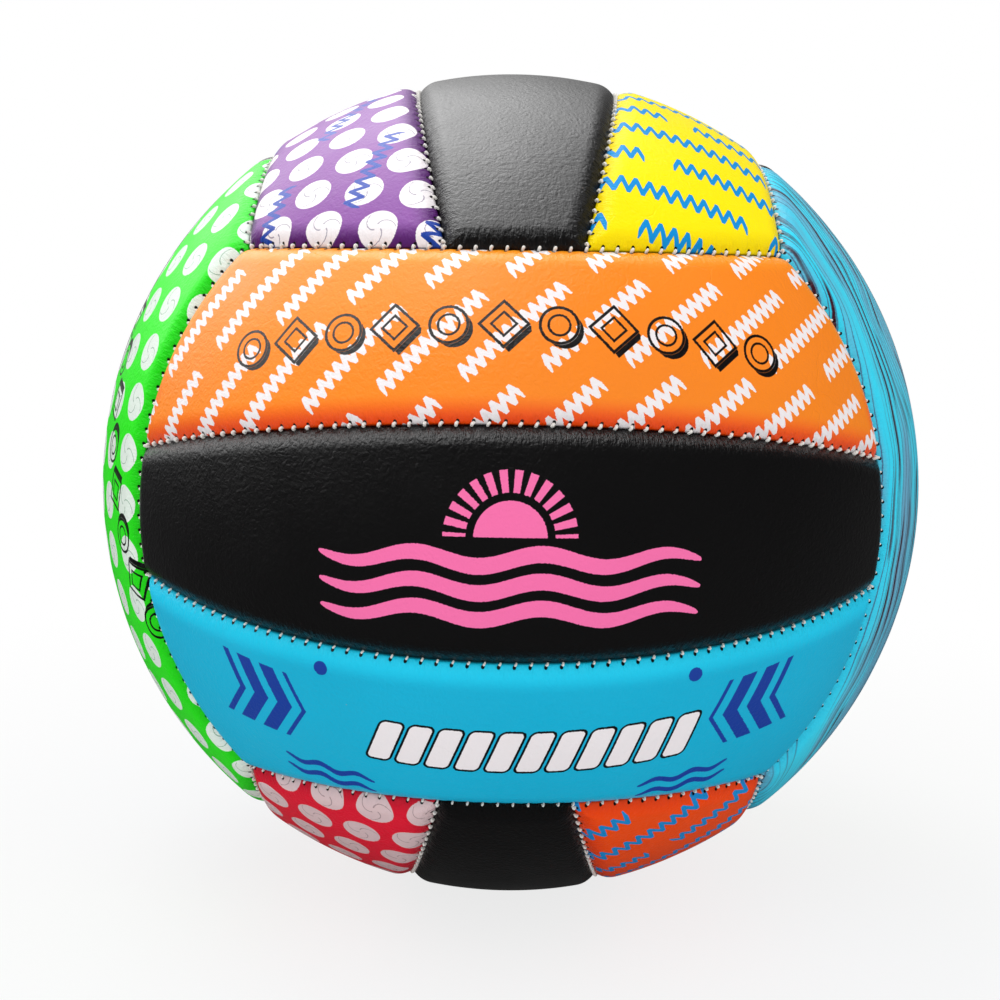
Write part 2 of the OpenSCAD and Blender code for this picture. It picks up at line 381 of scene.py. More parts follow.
sunk = (drop + puckers - uneven.minimum(0)) * (1 - inner * strip["Flat Below"])
top_r = ball_r - strip["Top Depth"] - inner * skin_t - sunk
hem_r = ball_r - strip["Hem Depth"]
shaped = shape.node("GeometryNodeSetPosition", {}, {
    "Geometry": box, "Position": place * blend(top_r, hem_r, hem)})
closed = shape.node("GeometryNodeMergeByDistance", {}, {"Geometry": shaped, "Distance": WELD})
drill = shape.node("GeometryNodeMeshCylinder", {}, {
    "Vertices": DRILL_SIDES, "Radius": hole_r, "Depth": 4 * BALL_R})
raised = shape.node("GeometryNodeTransform", {}, {"Geometry": drill, "Translation": (0, 0, 2 * BALL_R)})
drilled = shape.node("GeometryNodeMeshBoolean", {"operation": "DIFFERENCE", "solver": "EXACT"}, {
    "Mesh 1": closed, "Mesh 2": raised})
whole = shape.node("GeometryNodeSwitch", {"input_type": "GEOMETRY"}, {
    "Switch": hole_r.greater_than(0), "False": closed, "True": drilled})

# %% [markdown]
# ### What the shader needs to know
# A print has to run along its strip, and a needle hole has to sit at its stitch, so three point attributes
# are stored. One is the place on the strip in millimetres. The other two, for the long seams and for the end
# seams, hold the distance in millimetres, the run in stitches and the side to which a stitch leans. They are
# worked out from the finished points, so they are right at the valve hole too. At last the strip is turned
# from lying on top to its own place on the ball.

# %% Store the strip's own coordinates and turn it to its face
position = shape.node("GeometryNodeInputPosition")
point = position.normalize()
x, y, z = split(point)
middle = strip["Middle Angle"]
radius_mm = ball_r / MM
u = x.arctan2(z * middle.cosine() + y * middle.sine()) * radius_mm * strip["Print Turn"]
v = (y * middle.cosine() - z * middle.sine()).arcsine() * radius_mm * strip["Print Turn"]
near_mm, far_mm, end_mm = [d * radius_mm for d in seam_distances(point)]
in_face, long_side, at_end = stitch_run(point)
nearest_is_far = far_mm.less_than(near_mm)
long_run = blend(in_face, long_side, nearest_is_far * outer_strip)
marked = stored(whole, "strip_place", join(u, v))
marked = stored(marked, "long_seam", join(near_mm.minimum(far_mm), long_run, 1 - 2 * nearest_is_far))
marked = stored(marked, "end_seam", join(end_mm, at_end, 1.0))
x, y, z = split(position)
on_face = strip["Face Along"] * x + strip["Face Across"] * y + strip["Face Out"] * z
turned = shape.node("GeometryNodeSetPosition", {}, {"Geometry": marked, "Position": on_face})
end_tree(turned, strip["Material"])

# %% [markdown]
# ## Stitches
# The machine's white thread comes up through one edge, crosses the groove and goes down through the other,
# so only a short slanted bead of it shows at each stitch. One bead is a bent tube with six sides, placed at
# every pitch along a seam, upright on the sphere. A face's second seam is the first one turned half a turn
# about the face's middle. Where the thread was pulled tight less of it shows, so each seam has its own size
# of bead. A fixed seed gives the beads a small random twist and size.

# %% The stitch tree
BEND_STEPS, TUBE_SIDES = 6, 6
STITCH_INPUTS = {
    "Ball Radius": BALL_R, "Thread Radius": 0.36 * MM, "Bead Depth": 1.42 * MM, "Bead Half Length": 0.4 * MM,
    "Bead Drop": 0.85 * MM, "Bead Shift": 0.2 * MM, "Slant": -0.5, "Stitches": STRIP_STITCHES,
    "Seam Turn": STRIP_TURN, "Latitude": 0.0, "First Size": 1.0, "Second Size": 1.0,
    "Seam Middle": (0, 0, 1), "Seam Along": (1, 0, 0), "Seam Pole": (0, 1, 0), "Face Out": (0, 0, 1),
    "Seed": 3, "Material": None,
}
sewing, stitch = new_geometry_tree("seam_stitches", STITCH_INPUTS)
half, low, shift = stitch["Bead Half Length"], -stitch["Bead Drop"], stitch["Bead Shift"]
bend = sewing.node("GeometryNodeCurveQuadraticBezier", {}, {
    "Resolution": BEND_STEPS, "Start": join(0.0, shift - half, low),
    "Middle": join(0.0, shift, -low), "End": join(0.0, shift + half, low)})
ring = sewing.node("GeometryNodeCurvePrimitiveCircle", {}, {
    "Resolution": TUBE_SIDES, "Radius": stitch["Thread Radius"]})
bead = sewing.node("GeometryNodeCurveToMesh", {}, {"Curve": bend, "Profile Curve": ring, "Fill Caps": True})
bead = stored(bead, "thread_place", sewing.node("GeometryNodeInputPosition") / (MM, MM, MM))
print("a bead is", 2 * STITCH_INPUTS["Bead Half Length"] / MM, "mm long")

# %% Place the beads along both seams of a face
LOOSE_TWIST = 0.18
WIDTH_RANGE, LENGTH_RANGE = (0.9, 1.1), (0.9, 1.12)

index = sewing.node("GeometryNodeInputIndex")
turn = ((index + 0.5) / stitch["Stitches"] * 2 - 1) * stitch["Seam Turn"]
flat = stitch["Seam Middle"] * turn.cosine() + stitch["Seam Along"] * turn.sine()
upright = flat * stitch["Latitude"].cosine() + stitch["Seam Pole"] * stitch["Latitude"].sine()
forward = stitch["Seam Along"] * turn.cosine() - stitch["Seam Middle"] * turn.sine()
points = sewing.node("GeometryNodePoints", {}, {
    "Count": stitch["Stitches"], "Position": upright * (stitch["Ball Radius"] - stitch["Bead Depth"])})


def chance(low, high, offset):
    """A random number for each stitch, from the fixed seed."""
    return sewing.node("FunctionNodeRandomValue", {"data_type": "FLOAT"}, {
        "Min": low, "Max": high, "ID": index, "Seed": stitch["Seed"] + offset}, out=1)


facing = sewing.node("FunctionNodeAxesToRotation", {"primary_axis": "Z", "secondary_axis": "X"}, {
    "Primary Axis": upright, "Secondary Axis": forward})
slant = sewing.node("FunctionNodeAxisAngleToRotation", {}, {
    "Axis": (0, 0, 1), "Angle": stitch["Slant"] + chance(-LOOSE_TWIST, LOOSE_TWIST, 0)})
slanted = sewing.node("FunctionNodeRotateRotation", {"rotation_space": "LOCAL"}, {
    "Rotation": facing, "Rotate By": slant})
uneven = join(chance(*WIDTH_RANGE, 1), chance(*LENGTH_RANGE, 2), 1.0)


def row_of_beads(size):
    return sewing.node("GeometryNodeInstanceOnPoints", {}, {
        "Points": points, "Instance": bead, "Rotation": slanted, "Scale": uneven * size})


half_turn = sewing.node("FunctionNodeAxisAngleToRotation", {}, {"Axis": stitch["Face Out"], "Angle": math.pi})
second = sewing.node("GeometryNodeTransform", {}, {
    "Geometry": row_of_beads(stitch["Second Size"]), "Rotation": half_turn})
both = sewing.node("GeometryNodeJoinGeometry", {}, {"Geometry": [row_of_beads(stitch["First Size"]), second]})
end_tree(both, stitch["Material"])

# %% [markdown]
# ## From a tree to a plain mesh
# A tree only describes a shape. An empty mesh gets the tree as a modifier, each input is set by its socket's
# identifier, and the evaluated result is copied into a mesh of its own. The helper object goes away.

# %% Turn a tree into a piece
def placed(name, data):
    """A new object in the scene, at the origin and unturned."""
    made = bpy.data.objects.new(name, data)
    bpy.context.scene.collection.objects.link(made)
    return made


def piece_from_tree(name, nodes, values):
    """A plain mesh object made by a geometry tree with these input values."""
    helper = placed(f"{name}_helper", bpy.data.meshes.new(f"{name}_helper"))
    modifier = helper.modifiers.new("tree", "NODES")
    modifier.node_group = nodes.tree
    for socket in nodes.tree.interface.items_tree:
        if socket.in_out == "INPUT" and socket.name in values:
            modifier[socket.identifier] = values[socket.name]
    evaluated = helper.evaluated_get(bpy.context.evaluated_depsgraph_get())
    mesh = bpy.data.meshes.new_from_object(evaluated)
    mesh.name = name
    helper.modifiers.remove(modifier)
    bpy.data.objects.remove(helper)
    return placed(name, mesh)


def stand_in(piece, node, slot):
    """Let a piece ride on the ball in place of a CAD node. slot is not used."""
    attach(piece, "ball")
    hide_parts(node)
    return piece


# %% [markdown]
# ## Colours and inks
# Colours are written in the 0 to 255 steps of a screen, and turned to the linear values of a shader. A print
# is a mask: a shape's signed distance in millimetres is below 0 inside it, and its mask is 1 there, with an
# edge a tenth of a millimetre soft, as ink on coated cloth has.

# %% Colours
def paint(red, green, blue):
    """A screen colour in the linear values of a shader."""
    def linear(value):
        value /= 255
        return value / 12.92 if value <= 0.04045 else ((value + 0.055) / 1.055) ** 2.4
    return linear(red), linear(green), linear(blue), 1.0


# The second orange is painted shade on the lower rolled edge of the orange strips, and the third a painted
# highlight on their upper edge.
ORANGE, ORANGE_EDGE_SHADE, ORANGE_EDGE_HIGHLIGHT = paint(255, 136, 0), paint(255, 76, 0), paint(255, 154, 10)
BLACK, BLUE, YELLOW = paint(10, 9, 10), paint(6, 181, 220), paint(254, 232, 0)
GREEN, PURPLE, RED = paint(34, 240, 10), paint(128, 66, 150), paint(236, 16, 50)
VERMILION, WHITE, PINK = paint(255, 80, 0), paint(244, 238, 240), paint(252, 112, 174)
INK_BLUE, DARK_BLUE, MAROON = paint(10, 142, 214), paint(20, 62, 160), paint(66, 20, 40)
print("orange in linear values:", [round(c, 3) for c in ORANGE[:3]])

# %% Masks and inks
SOFT = 0.1


def mask(distance):
    """1 inside a shape whose signed distance in mm is below 0."""
    settings = {"operation": "MULTIPLY_ADD", "use_clamp": True}
    return distance.nodes.node("ShaderNodeMath", settings, {0: distance, 1: -1 / SOFT, 2: 0.5})


def ink(share, under, over, how="MIX"):
    """The colour over where share is 1, and under where it is 0."""
    settings = {"data_type": "RGBA", "blend_type": how}
    return share.nodes.node("ShaderNodeMix", settings, {0: share, 6: under, 7: over}, out=2)


def around(value, period):
    """value folded into one period that is centred on 0."""
    return value.wrap(period / 2, -period / 2)


def length(x, y):
    return (x * x + y * y).sqrt()


def spun(u, v, degrees):
    """Coordinates turned by this angle, the first one along the turned line."""
    c, s = math.cos(math.radians(degrees)), math.sin(math.radians(degrees))
    return u * c + v * s, v * c - u * s


# %% [markdown]
# ## Prints
# Every strip carries a plain pattern, in inks like those of the real ball and at a like scale: zigzag bands,
# dots, outlined shapes, waves, tiles or arrows. A pattern is repeated by folding its coordinates, so a whole
# strip of it costs a handful of nodes. All its sizes are in millimetres.

# %% Zigzag bands
def zigzag_bands(u, v, degrees, pitch, period, band, height, stroke, tooth, shift):
    """Short bands of zigzag in rows that lie pitch apart, each row moved on by shift."""
    along, across = spun(u, v, degrees)
    row = (across / pitch).round()
    across = across - row * pitch
    along = around(along + row * shift, period)
    slope = 2 * height / tooth
    peak = along.pingpong(tooth / 2) * slope - height / 2
    distance = abs(across - peak) / math.hypot(1, slope) - stroke / 2
    return mask(distance.maximum(abs(along) - band / 2).maximum(abs(across) - height / 2 - stroke / 2))


# %% Dots with thin curls in them
CURLS, CURL_TURN, CURL_LINE, CURL_START, CURL_STOP = 3, 2.2, 0.17, 0.8, 0.92


def dots(u, v, pitch_u, pitch_v, shift, radius=4.5):
    """A mask of round dots in rows, and a mask of the fine lines inside them."""
    row = (v / pitch_v).round()
    y = v - row * pitch_v
    x = around(u + row * shift, pitch_u)
    r = length(x, y)
    arm = abs(around(y.arctan2(x) + r * (CURL_TURN / radius), 2 * math.pi / CURLS)) * r
    curls = mask(arm - CURL_LINE) * mask(r - radius * CURL_STOP) * mask(CURL_START - r)
    return mask(r - radius), curls


# %% Outlined shapes with a drop shade
OUTER_LINE, INNER_LINE, DISC_SHARE, INNER_SHARE, SHADE_SHIFT = 0.32, 0.26, 0.78, 0.34, 0.22


def shape_row(u, v, start, stop, cell=11.2, size=5.0):
    """A row of outlined diamonds and rings, each with a dark shade to its lower right."""
    x = around(u, cell)
    odd = abs(around((u / cell).round(), 2))

    def distance(dx, dy):
        px, py = abs(x - dx), abs(v - dy)
        diamond = (px + py - size) / math.sqrt(2)
        disc = length(px, py) - size * DISC_SHARE
        return blend(diamond, disc, odd)

    body = distance(0, 0)
    outline = mask(abs(body) - OUTER_LINE).maximum(mask(abs(body + size * INNER_SHARE) - INNER_LINE))
    shade = mask(distance(size * SHADE_SHIFT, -size * SHADE_SHIFT)) * mask(OUTER_LINE - body)
    return outline.maximum(shade) * mask((u - stop).maximum(start - u))


# %% Waves and a rising sun
BLUNT_END = 0.35
RAY_HALF, RAY_SPREAD = 0.25, 0.045


def wave_stripes(u, v, heights, wave_long, wave_high, thick, reach):
    """Stripes that wave along the strip and thin out towards their ends."""
    bend = (u * (2 * math.pi / wave_long)).sine() * wave_high
    taper = (1 - (u / reach) ** 2).maximum(0) ** BLUNT_END
    found = None
    for height in heights:
        stripe = mask(abs(v - height - bend) - thick * taper) * mask(abs(u) - reach)
        found = stripe if found is None else found.maximum(stripe)
    return found


def sun(u, v, radius, ray_start, ray_stop, rays):
    """Half a disc with a crown of rays, above v = 0."""
    r = length(u, v)
    ray = abs(around(v.arctan2(u), math.pi / rays)) * r - r * RAY_SPREAD - RAY_HALF
    crown = mask(ray) * mask((r - ray_stop).maximum(ray_start - r))
    return mask(r - radius).maximum(crown) * mask(-v)


# %% Tiles and arrows
ARROW_START, ARROW_MIDDLE, ARROW_REACH = 3.6, 7.0, 8.8


def tile_row(u, v, pitch, half_long, half_high, round_off, lean, reach, outline):
    """Leaning tiles with round corners: a mask of their outlines and one of the tiles."""
    leaning = u - v * lean
    past_end = abs(leaning) - reach
    corner_u, corner_v = abs(around(leaning, pitch)) - half_long, abs(v) - half_high
    tile = length(corner_u.maximum(0), corner_v.maximum(0)) - round_off
    return mask((tile - outline).maximum(past_end)), mask(tile.maximum(past_end))


def arrows(u, v, away, slope, pitch, half_long, half_high):
    fold = abs(u) - away - abs(v) * slope
    stripes = mask(abs(around(fold - ARROW_START, pitch)) - half_long)
    return stripes * mask(abs(fold - ARROW_MIDDLE) - ARROW_REACH) * mask(abs(v) - half_high)


# %% [markdown]
# ## The skin
# A strip is coated cloth: fine grain, a soft shine, faint stains and specks. At the seams it is bunched by
# the thread, so the grain gets coarser and turns into short creases across the seam, with a needle hole at
# each stitch. The holes and the bottom of the seam groove are painted dark as shade. Most strips carry
# painted shade on their rolled edges, and on orange and blue the upper edge has a painted highlight instead.
# Strips differ in colours and print, and the orange and black ones shine more. The shine is kept low on all
# of them, because the bright room lays a grey veil over anything glossy.

# %% Read a strip's coordinates
NEEDLE_R, NEEDLE_IN, NEEDLE_LEAN = 0.36, 0.74, 0.34
CREASE_RANGE, PULL_RANGE = (0.3, 5.5), (0.1, 2.2)
CREASES_ALONG, CREASES_IN = 4.2, 0.4


def attribute(nodes, name):
    """A stored point attribute, as three numbers."""
    return split(nodes.node("ShaderNodeAttribute", {"attribute_name": name}, out="Vector"))


def noise(vector, scale, detail=2.0, rough=0.5):
    return vector.nodes.node("ShaderNodeTexNoise", {}, {
        "Vector": vector, "Scale": scale, "Detail": detail, "Roughness": rough})


def cell_distance(vector, scale):
    """Distance to the middle of the nearest of many scattered cells."""
    return vector.nodes.node("ShaderNodeTexVoronoi", {}, {"Vector": vector, "Scale": scale})


def seam_marks(nodes, name, pitch):
    """Distance from a seam in mm, its needle holes, its creases and its thread's pull."""
    distance, run, lean = attribute(nodes, name)
    beside = around(run - 0.5, 1) * pitch
    hole = mask(length(beside - lean * NEEDLE_LEAN, distance - NEEDLE_IN) - NEEDLE_R)
    crease = noise(join(run * CREASES_ALONG, distance * CREASES_IN), 1.0, 3.0, 0.65)
    close = step(distance, *CREASE_RANGE, 1.0, 0.0)
    return distance, hole, (crease - 0.5) * close, pull(run, distance, *PULL_RANGE)


# %% Parts that all materials share
def new_material(name):
    material = bpy.data.materials.new(name)
    material.use_nodes = True
    material.node_tree.nodes.clear()
    return material, Nodes(material.node_tree)


def coat(colour, roughness, shine, height, depth=MM):
    """The end of a material: a coat over a bump whose height times depth is in metres."""
    nodes = colour.nodes
    bump = nodes.node("ShaderNodeBump", {}, {"Strength": 1.0, "Distance": depth, "Height": height})
    surface = nodes.node("ShaderNodeBsdfPrincipled", {}, {
        "Base Color": colour, "Roughness": roughness, "Specular IOR Level": shine, "Normal": bump})
    nodes.node("ShaderNodeOutputMaterial", {}, {"Surface": surface})


# %% Build a skin's material
MATT, GLOSSY, FLAT = 0.2, 0.4, 0.08
# The third colour is painted shade for the needle holes and the bottom of the seam grooves.
STAIN, DUST, HOLE_AND_GROOVE_SHADE = paint(205, 200, 200), paint(170, 156, 150), paint(12, 9, 9)
STAIN_SCALE, STAIN_RANGE, STAIN_SHARE = 24, (0.35, 0.8), 0.12
DUST_SCALE, DUST_CELL, DUST_R, DUST_SHARE = 75.0, 13, 0.16, 0.35
GROOVE_RANGE, GROOVE_SHARE = (0.02, 0.4), 0.8
PEBBLE_SCALE, FINE_SCALE, FINE_SHARE = 620, 2400, 0.3
WRINKLE_SCALE, WRINKLE_WIDTH = 55, 0.012
WORN_SCALE, WORN_RANGE, WORN_DEPTH = 16, (0.56, 0.66), 0.05
SPREAD_SCALE, INK_SPREAD = 2600, 0.3
# How far the painted shade and highlight of the rolled edges reach from a seam, and where lower and upper
# meet.
EDGE_LIGHT_AND_SHADE_MEET, EDGE_LIGHT_AND_SHADE_RANGE = 4.0, (0.5, 6.5)
PULL_DEPTH, HOLE_DEPTH = 0.2, 0.3
PATCHY_SCALE, ROUGH_CHANGE = 60, 0.2


def stained_and_shaded(spot, colour, hole, near_seam):
    """The colour with faint stains and specks of dust, and painted shade in the needle holes and seam
    grooves.
    """
    stain = step(noise(spot, STAIN_SCALE, 4.0), *STAIN_RANGE, 0.0, STAIN_SHARE)
    colour = ink(stain, colour, STAIN, "MULTIPLY")
    dust = mask(cell_distance(spot, DUST_SCALE) * DUST_CELL - DUST_R)
    colour = ink(dust * DUST_SHARE, colour, DUST)
    # Painted shade: the needle holes and the bottom of the seam groove are darkened.
    groove = step(near_seam, *GROOVE_RANGE, GROOVE_SHARE, 0.0)
    return ink(hole.maximum(groove), colour, HOLE_AND_GROOVE_SHADE)


def grain_height(spot, fine, grain):
    """Pebbles and fine grain in mm, with worn lines in patches."""
    pebbles = abs(noise(spot, PEBBLE_SCALE, 1.5) - 0.5)
    wrinkle = abs(noise(spot, WRINKLE_SCALE, 3.0) - 0.5)
    worn = step(wrinkle, 0.0, WRINKLE_WIDTH, 1.0, 0.0) * step(noise(spot, WORN_SCALE), *WORN_RANGE)
    return pebbles * grain + (fine - 0.5) * (grain * FINE_SHARE) - worn * WORN_DEPTH


def skin(name, print_on, middle, lower=None, upper=None, grain=0.2, crease_depth=0.5, rough=0.37, shine=MATT):
    """A strip's material: a ground, painted light and shade on its rolled edges, and a print on top."""
    material, nodes = new_material(name)
    lower = lower or middle
    spot = nodes.node("ShaderNodeTexCoord", out="Object")
    spread = (noise(spot, SPREAD_SCALE) - 0.5) * INK_SPREAD
    u, v, _ = attribute(nodes, "strip_place")
    long_d, long_hole, long_crease, long_pull = seam_marks(nodes, "long_seam", STRIP_PITCH / MM)
    end_d, end_hole, end_crease, end_pull = seam_marks(nodes, "end_seam", EDGE_PITCH / MM)
    near_seam, hole = long_d.minimum(end_d), long_hole.maximum(end_hole)
    # Painted light and shade near the seams: lower is painted shade on the rolled edges, and upper, where
    # given, a painted highlight on the upper edge.
    edge = ink(step(v, -EDGE_LIGHT_AND_SHADE_MEET, EDGE_LIGHT_AND_SHADE_MEET), lower, upper or lower)
    ground = ink(step(near_seam, *EDGE_LIGHT_AND_SHADE_RANGE, 1.0, 0.0), middle, edge)
    printed = print_on(u + spread, v + spread, ground)
    fine = noise(spot, FINE_SCALE, 2.0, 0.6)
    height = grain_height(spot, fine, grain) + (long_crease + end_crease) * crease_depth
    height = height - long_pull.maximum(end_pull) * PULL_DEPTH - hole * HOLE_DEPTH
    patchy = (noise(spot, PATCHY_SCALE, 3.0) - 0.5) * ROUGH_CHANGE
    roughness = rough + patchy + (fine - 0.5) * ROUGH_CHANGE
    coat(stained_and_shaded(spot, printed, hole, near_seam), roughness, shine, height)
    return material


# %% [markdown]
# ### The printed strips
# Orange has white bands under a row of black outlines. The front's black middle has a sun over waves. Light
# blue has a row of white leaning tiles between dark-blue arrows, with spots and ripples. One strip of each
# side face is marbled along its length. Purple, green and red have pale dots with fine curls, the first two
# with bands or outlines over them, and yellow and vermilion have blue bands.

# %% Prints of the front and back faces
def orange_print(u, v, ground):
    white = zigzag_bands(u, v, degrees=43.5, pitch=10.0, period=36.0, band=28.8, height=3.0, stroke=1.15,
                         tooth=2.4, shift=13.7)
    outlines = shape_row(u + 2, v - 1, start=-61.5, stop=61.5)
    return ink(outlines, ink(white, ground, WHITE), BLACK)


def sun_print(u, v, ground):
    waves = wave_stripes(u, v, (-13.4, -7.8, -2.2), wave_long=26.0, wave_high=1.3, thick=1.75, reach=40.0)
    rising = sun(u, v - 2.4, radius=7.4, ray_start=9.0, ray_stop=13.6, rays=13)
    return ink(waves.maximum(rising), ground, PINK)


def no_print(u, v, ground):
    return ground


def blue_print(u, v, ground):
    outline, white = tile_row(u - 6, v + 1.5, pitch=6.4, half_long=1.3, half_high=4.2, round_off=1.1,
                              lean=0.35, reach=35.2, outline=0.55)
    shapes = arrows(u, v - 1, away=46, slope=0.55, pitch=6.2, half_long=1.9, half_high=8.6)
    spots = mask(length(abs(u) - 40.5, v - 13.5) - 1.6)
    ripples = wave_stripes(abs(u) - 40, v, (-14.2, -17.6), wave_long=9.0, wave_high=0.7, thick=0.85,
                           reach=11.0)
    painted = ink(shapes.maximum(spots).maximum(ripples), ground, DARK_BLUE)
    return ink(white, ink(outline, painted, BLACK), WHITE)


# %% Prints of the other faces
def dotted_print(white, line, pitch_u, pitch_v, shift, over=None, over_ink=BLACK):
    """White dots with curls, and where there is an over(u, v) its shapes in their ink on top."""
    def print_on(u, v, ground):
        dot, curls = dots(u, v, pitch_u, pitch_v, shift)
        painted = ink(curls * 0.8, ink(dot, ground, white), line)
        return ink(over(u, v), painted, over_ink) if over else painted
    return print_on


def long_bands(u, v):
    return zigzag_bands(u, v, degrees=-35.0, pitch=21.0, period=44.0, band=26.4, height=3.6, stroke=1.05,
                        tooth=3.3, shift=17.0)


def slanting_shapes(u, v):
    """The outlined shapes again, in a row that runs across the strip at a slant."""
    along, across = spun(u, v, 24.7)
    return shape_row(along, across + 7.7, start=-40.0, stop=70.0)


def banded_print(degrees):
    def print_on(u, v, ground):
        large = zigzag_bands(u, v, degrees, pitch=12.2, period=58.0, band=51.2, height=4.2, stroke=1.15,
                             tooth=3.2, shift=25.0)
        return ink(large, ground, INK_BLUE)
    return print_on


# %% The marbled print
COMBED_ACROSS, COMBED_BEND, COMBED_RIPPLE = -0.17, 9.0, 1.5
THIN_LINES, BOLD_LINES = 3.1, 1.55


def marbled_print(u, v, ground):
    """Ink combed along the strip into bands of lines, with clear ground between."""
    def flow(x, y, seed, detail=1.5):
        return noise(join(x, y, seed), 1.0, detail, 0.45)

    bent = flow(u * 0.014, v * -0.018, 2.0) * COMBED_BEND
    rippled = flow(u * 0.03, v * -0.04, 5.0) * COMBED_RIPPLE
    combed = v * COMBED_ACROSS + bent + rippled
    crowd = flow(combed * 0.62, u * 0.012, 9.0)
    swell = flow(combed * 0.9, u * 0.035, 4.0)
    haze = flow(combed * 0.5, u * 0.01, 7.0, 3.0)
    thin = step(abs(around(combed * THIN_LINES, 1)), 0.0, 0.16, 0.9, 0.0)
    bold = step(abs(around(combed * BOLD_LINES + 0.2, 1)), 0.08, 0.2, 1.0, 0.0)
    base = ink(step(haze, 0.42, 0.62, 0.0, 0.9), ground, paint(112, 172, 204))
    base = ink(thin * step(crowd, 0.33, 0.42), base, paint(70, 84, 124))
    bold_here = bold * step(swell, 0.44, 0.54) * step(crowd, 0.4, 0.52)
    return ink(bold_here, base, MAROON)


# %% Make the skins
LEATHER = {"grain": 0.26, "crease_depth": 0.85, "rough": 0.35, "shine": GLOSSY}
green_dots = dotted_print(paint(230, 242, 232), paint(120, 164, 136), 12.0, 13.8, 0.8, slanting_shapes)
purple_dots = dotted_print(WHITE, paint(132, 124, 146), 12.6, 11.0, 5.0, long_bands, DARK_BLUE)
red_dots = dotted_print(paint(226, 198, 200), paint(160, 132, 134), 12.6, 11.0, 5.0)
SKINS = {
    "orange": skin("orange_skin", orange_print, ORANGE, ORANGE_EDGE_SHADE, ORANGE_EDGE_HIGHLIGHT, shine=GLOSSY),
    "black": skin("black_skin", no_print, BLACK, **LEATHER),
    "black_sun": skin("black_skin_with_sun", sun_print, BLACK, **LEATHER),
    # Blue's third colour is a painted highlight on the strip's upper rolled edge.
    "blue": skin("blue_skin", blue_print, BLUE, BLUE, paint(24, 212, 248)),
    # From here on, the second colour of a row is painted shade on the strip's rolled edges.
    "marbled": skin("marbled_skin", marbled_print, paint(54, 224, 252), paint(44, 214, 246)),
    "green": skin("green_skin", green_dots, GREEN, paint(24, 214, 8)),
    "purple": skin("purple_skin", purple_dots, PURPLE, paint(84, 26, 106)),
    "red": skin("red_skin", red_dots, RED, paint(212, 12, 44)),
    "yellow": skin("yellow_skin", banded_print(-76.0), YELLOW, paint(250, 222, 0), shine=FLAT),
    "vermilion": skin("vermilion_skin", banded_print(-73.0), VERMILION, paint(246, 66, 0)),
}
print("skins:", sorted(SKINS))

# %% [markdown]
# ## Finishes under the skin
# Thread, foam, lining cloth and rubber are seen only at the seams, at the valve or when a skin is taken off.
# Each finish has two tones of one colour and a small bump. The tones are mixed by a noise and by the bump's
# height, so the low places get painted shade.

# %% Soft parts and rubber
CLOTH_PITCH = 0.5 * MM
PLY_PITCH, PLY_SLOPE = 0.55, 0.7
FINISH_SHINE = 0.3


def plain_finish(name, light, dark, scale, depth_mm, rough, pattern):
    """A finish of two tones and a bump. pattern(spot) is its height from 0 to 1."""
    material, nodes = new_material(name)
    spot = nodes.node("ShaderNodeTexCoord", out="Object")
    height = pattern(spot)
    patchy = noise(spot, scale, 3.0)
    # Half of the tone follows the bump's height, so the low places are darker: painted shade in the relief.
    colour = ink(clamped(patchy * 0.5 + height * 0.5), paint(*dark), paint(*light))
    coat(colour, rough + (patchy - 0.5) * 0.15, FINISH_SHINE, height, depth_mm * MM)
    return material


def weave(spot):
    """Threads over and under each other in two directions."""
    x, y, z = split(spot * (2 * math.pi / CLOTH_PITCH))
    return (x.sine() * y.sine() + y.cosine() * z.sine()) * 0.25 + 0.5


def foam_cells(spot):
    return cell_distance(spot, 1300.0)


def mould_grain(spot):
    return noise(spot, 2200)


def twist(spot):
    """The two plies of a sewing thread, wound round each other."""
    x, y, _ = attribute(spot.nodes, "thread_place")
    return ((y + x * PLY_SLOPE) * (2 * math.pi / PLY_PITCH)).sine() * 0.5 + 0.5


FINISH_ROWS = {
    "thread": ("seam_thread", (255, 254, 250), (220, 216, 208), 300, 0.05, 0.7, twist),
    "foam": ("foam", (238, 234, 222), (206, 200, 184), 90, 0.12, 0.9, foam_cells),
    "lining": ("lining_cloth", (222, 222, 216), (176, 176, 170), 60, 0.08, 0.85, weave),
    "patch": ("patch_cloth", (212, 206, 190), (160, 154, 140), 60, 0.08, 0.85, weave),
    "bladder": ("bladder_rubber", (58, 56, 58), (34, 32, 34), 40, 0.04, 0.55, mould_grain),
    "seat": ("valve_rubber", (40, 40, 42), (24, 24, 26), 70, 0.03, 0.5, mould_grain),
    "core": ("core_rubber", (52, 52, 54), (30, 30, 32), 70, 0.03, 0.45, mould_grain),
}
FINISHES = {key: plain_finish(*row) for key, row in FINISH_ROWS.items()}
print("finishes:", sorted(FINISHES))

# %% [markdown]
# ## Faces of the ball
# Each face has three directions: along its strips, across them and out of the ball. The strips are named
# from the one that lies furthest along the second direction to the one that lies furthest against it.

# %% The six faces
FACES = {
    "front": ((1, 0, 0), (0, 0, 1), (0, -1, 0), {"upper": "orange", "middle": "black_sun", "lower": "blue"}),
    "back": ((-1, 0, 0), (0, 0, 1), (0, 1, 0), {"upper": "orange", "middle": "black", "lower": "blue"}),
    "right": ((0, 0, 1), (0, -1, 0), (1, 0, 0), {"front": "marbled", "middle": "black", "back": "green"}),
    "left": ((0, 0, 1), (0, 1, 0), (-1, 0, 0), {"back": "marbled", "middle": "black", "front": "green"}),
    "top": ((0, 1, 0), (-1, 0, 0), (0, 0, 1), {"left": "purple", "middle": "black", "right": "yellow"}),
    "bottom": ((0, 1, 0), (1, 0, 0), (0, 0, -1), {"right": "vermilion", "middle": "black", "left": "red"}),
}
VALVE_FACE = "back"
print("strips:", sum(len(face[3]) for face in FACES.values()))

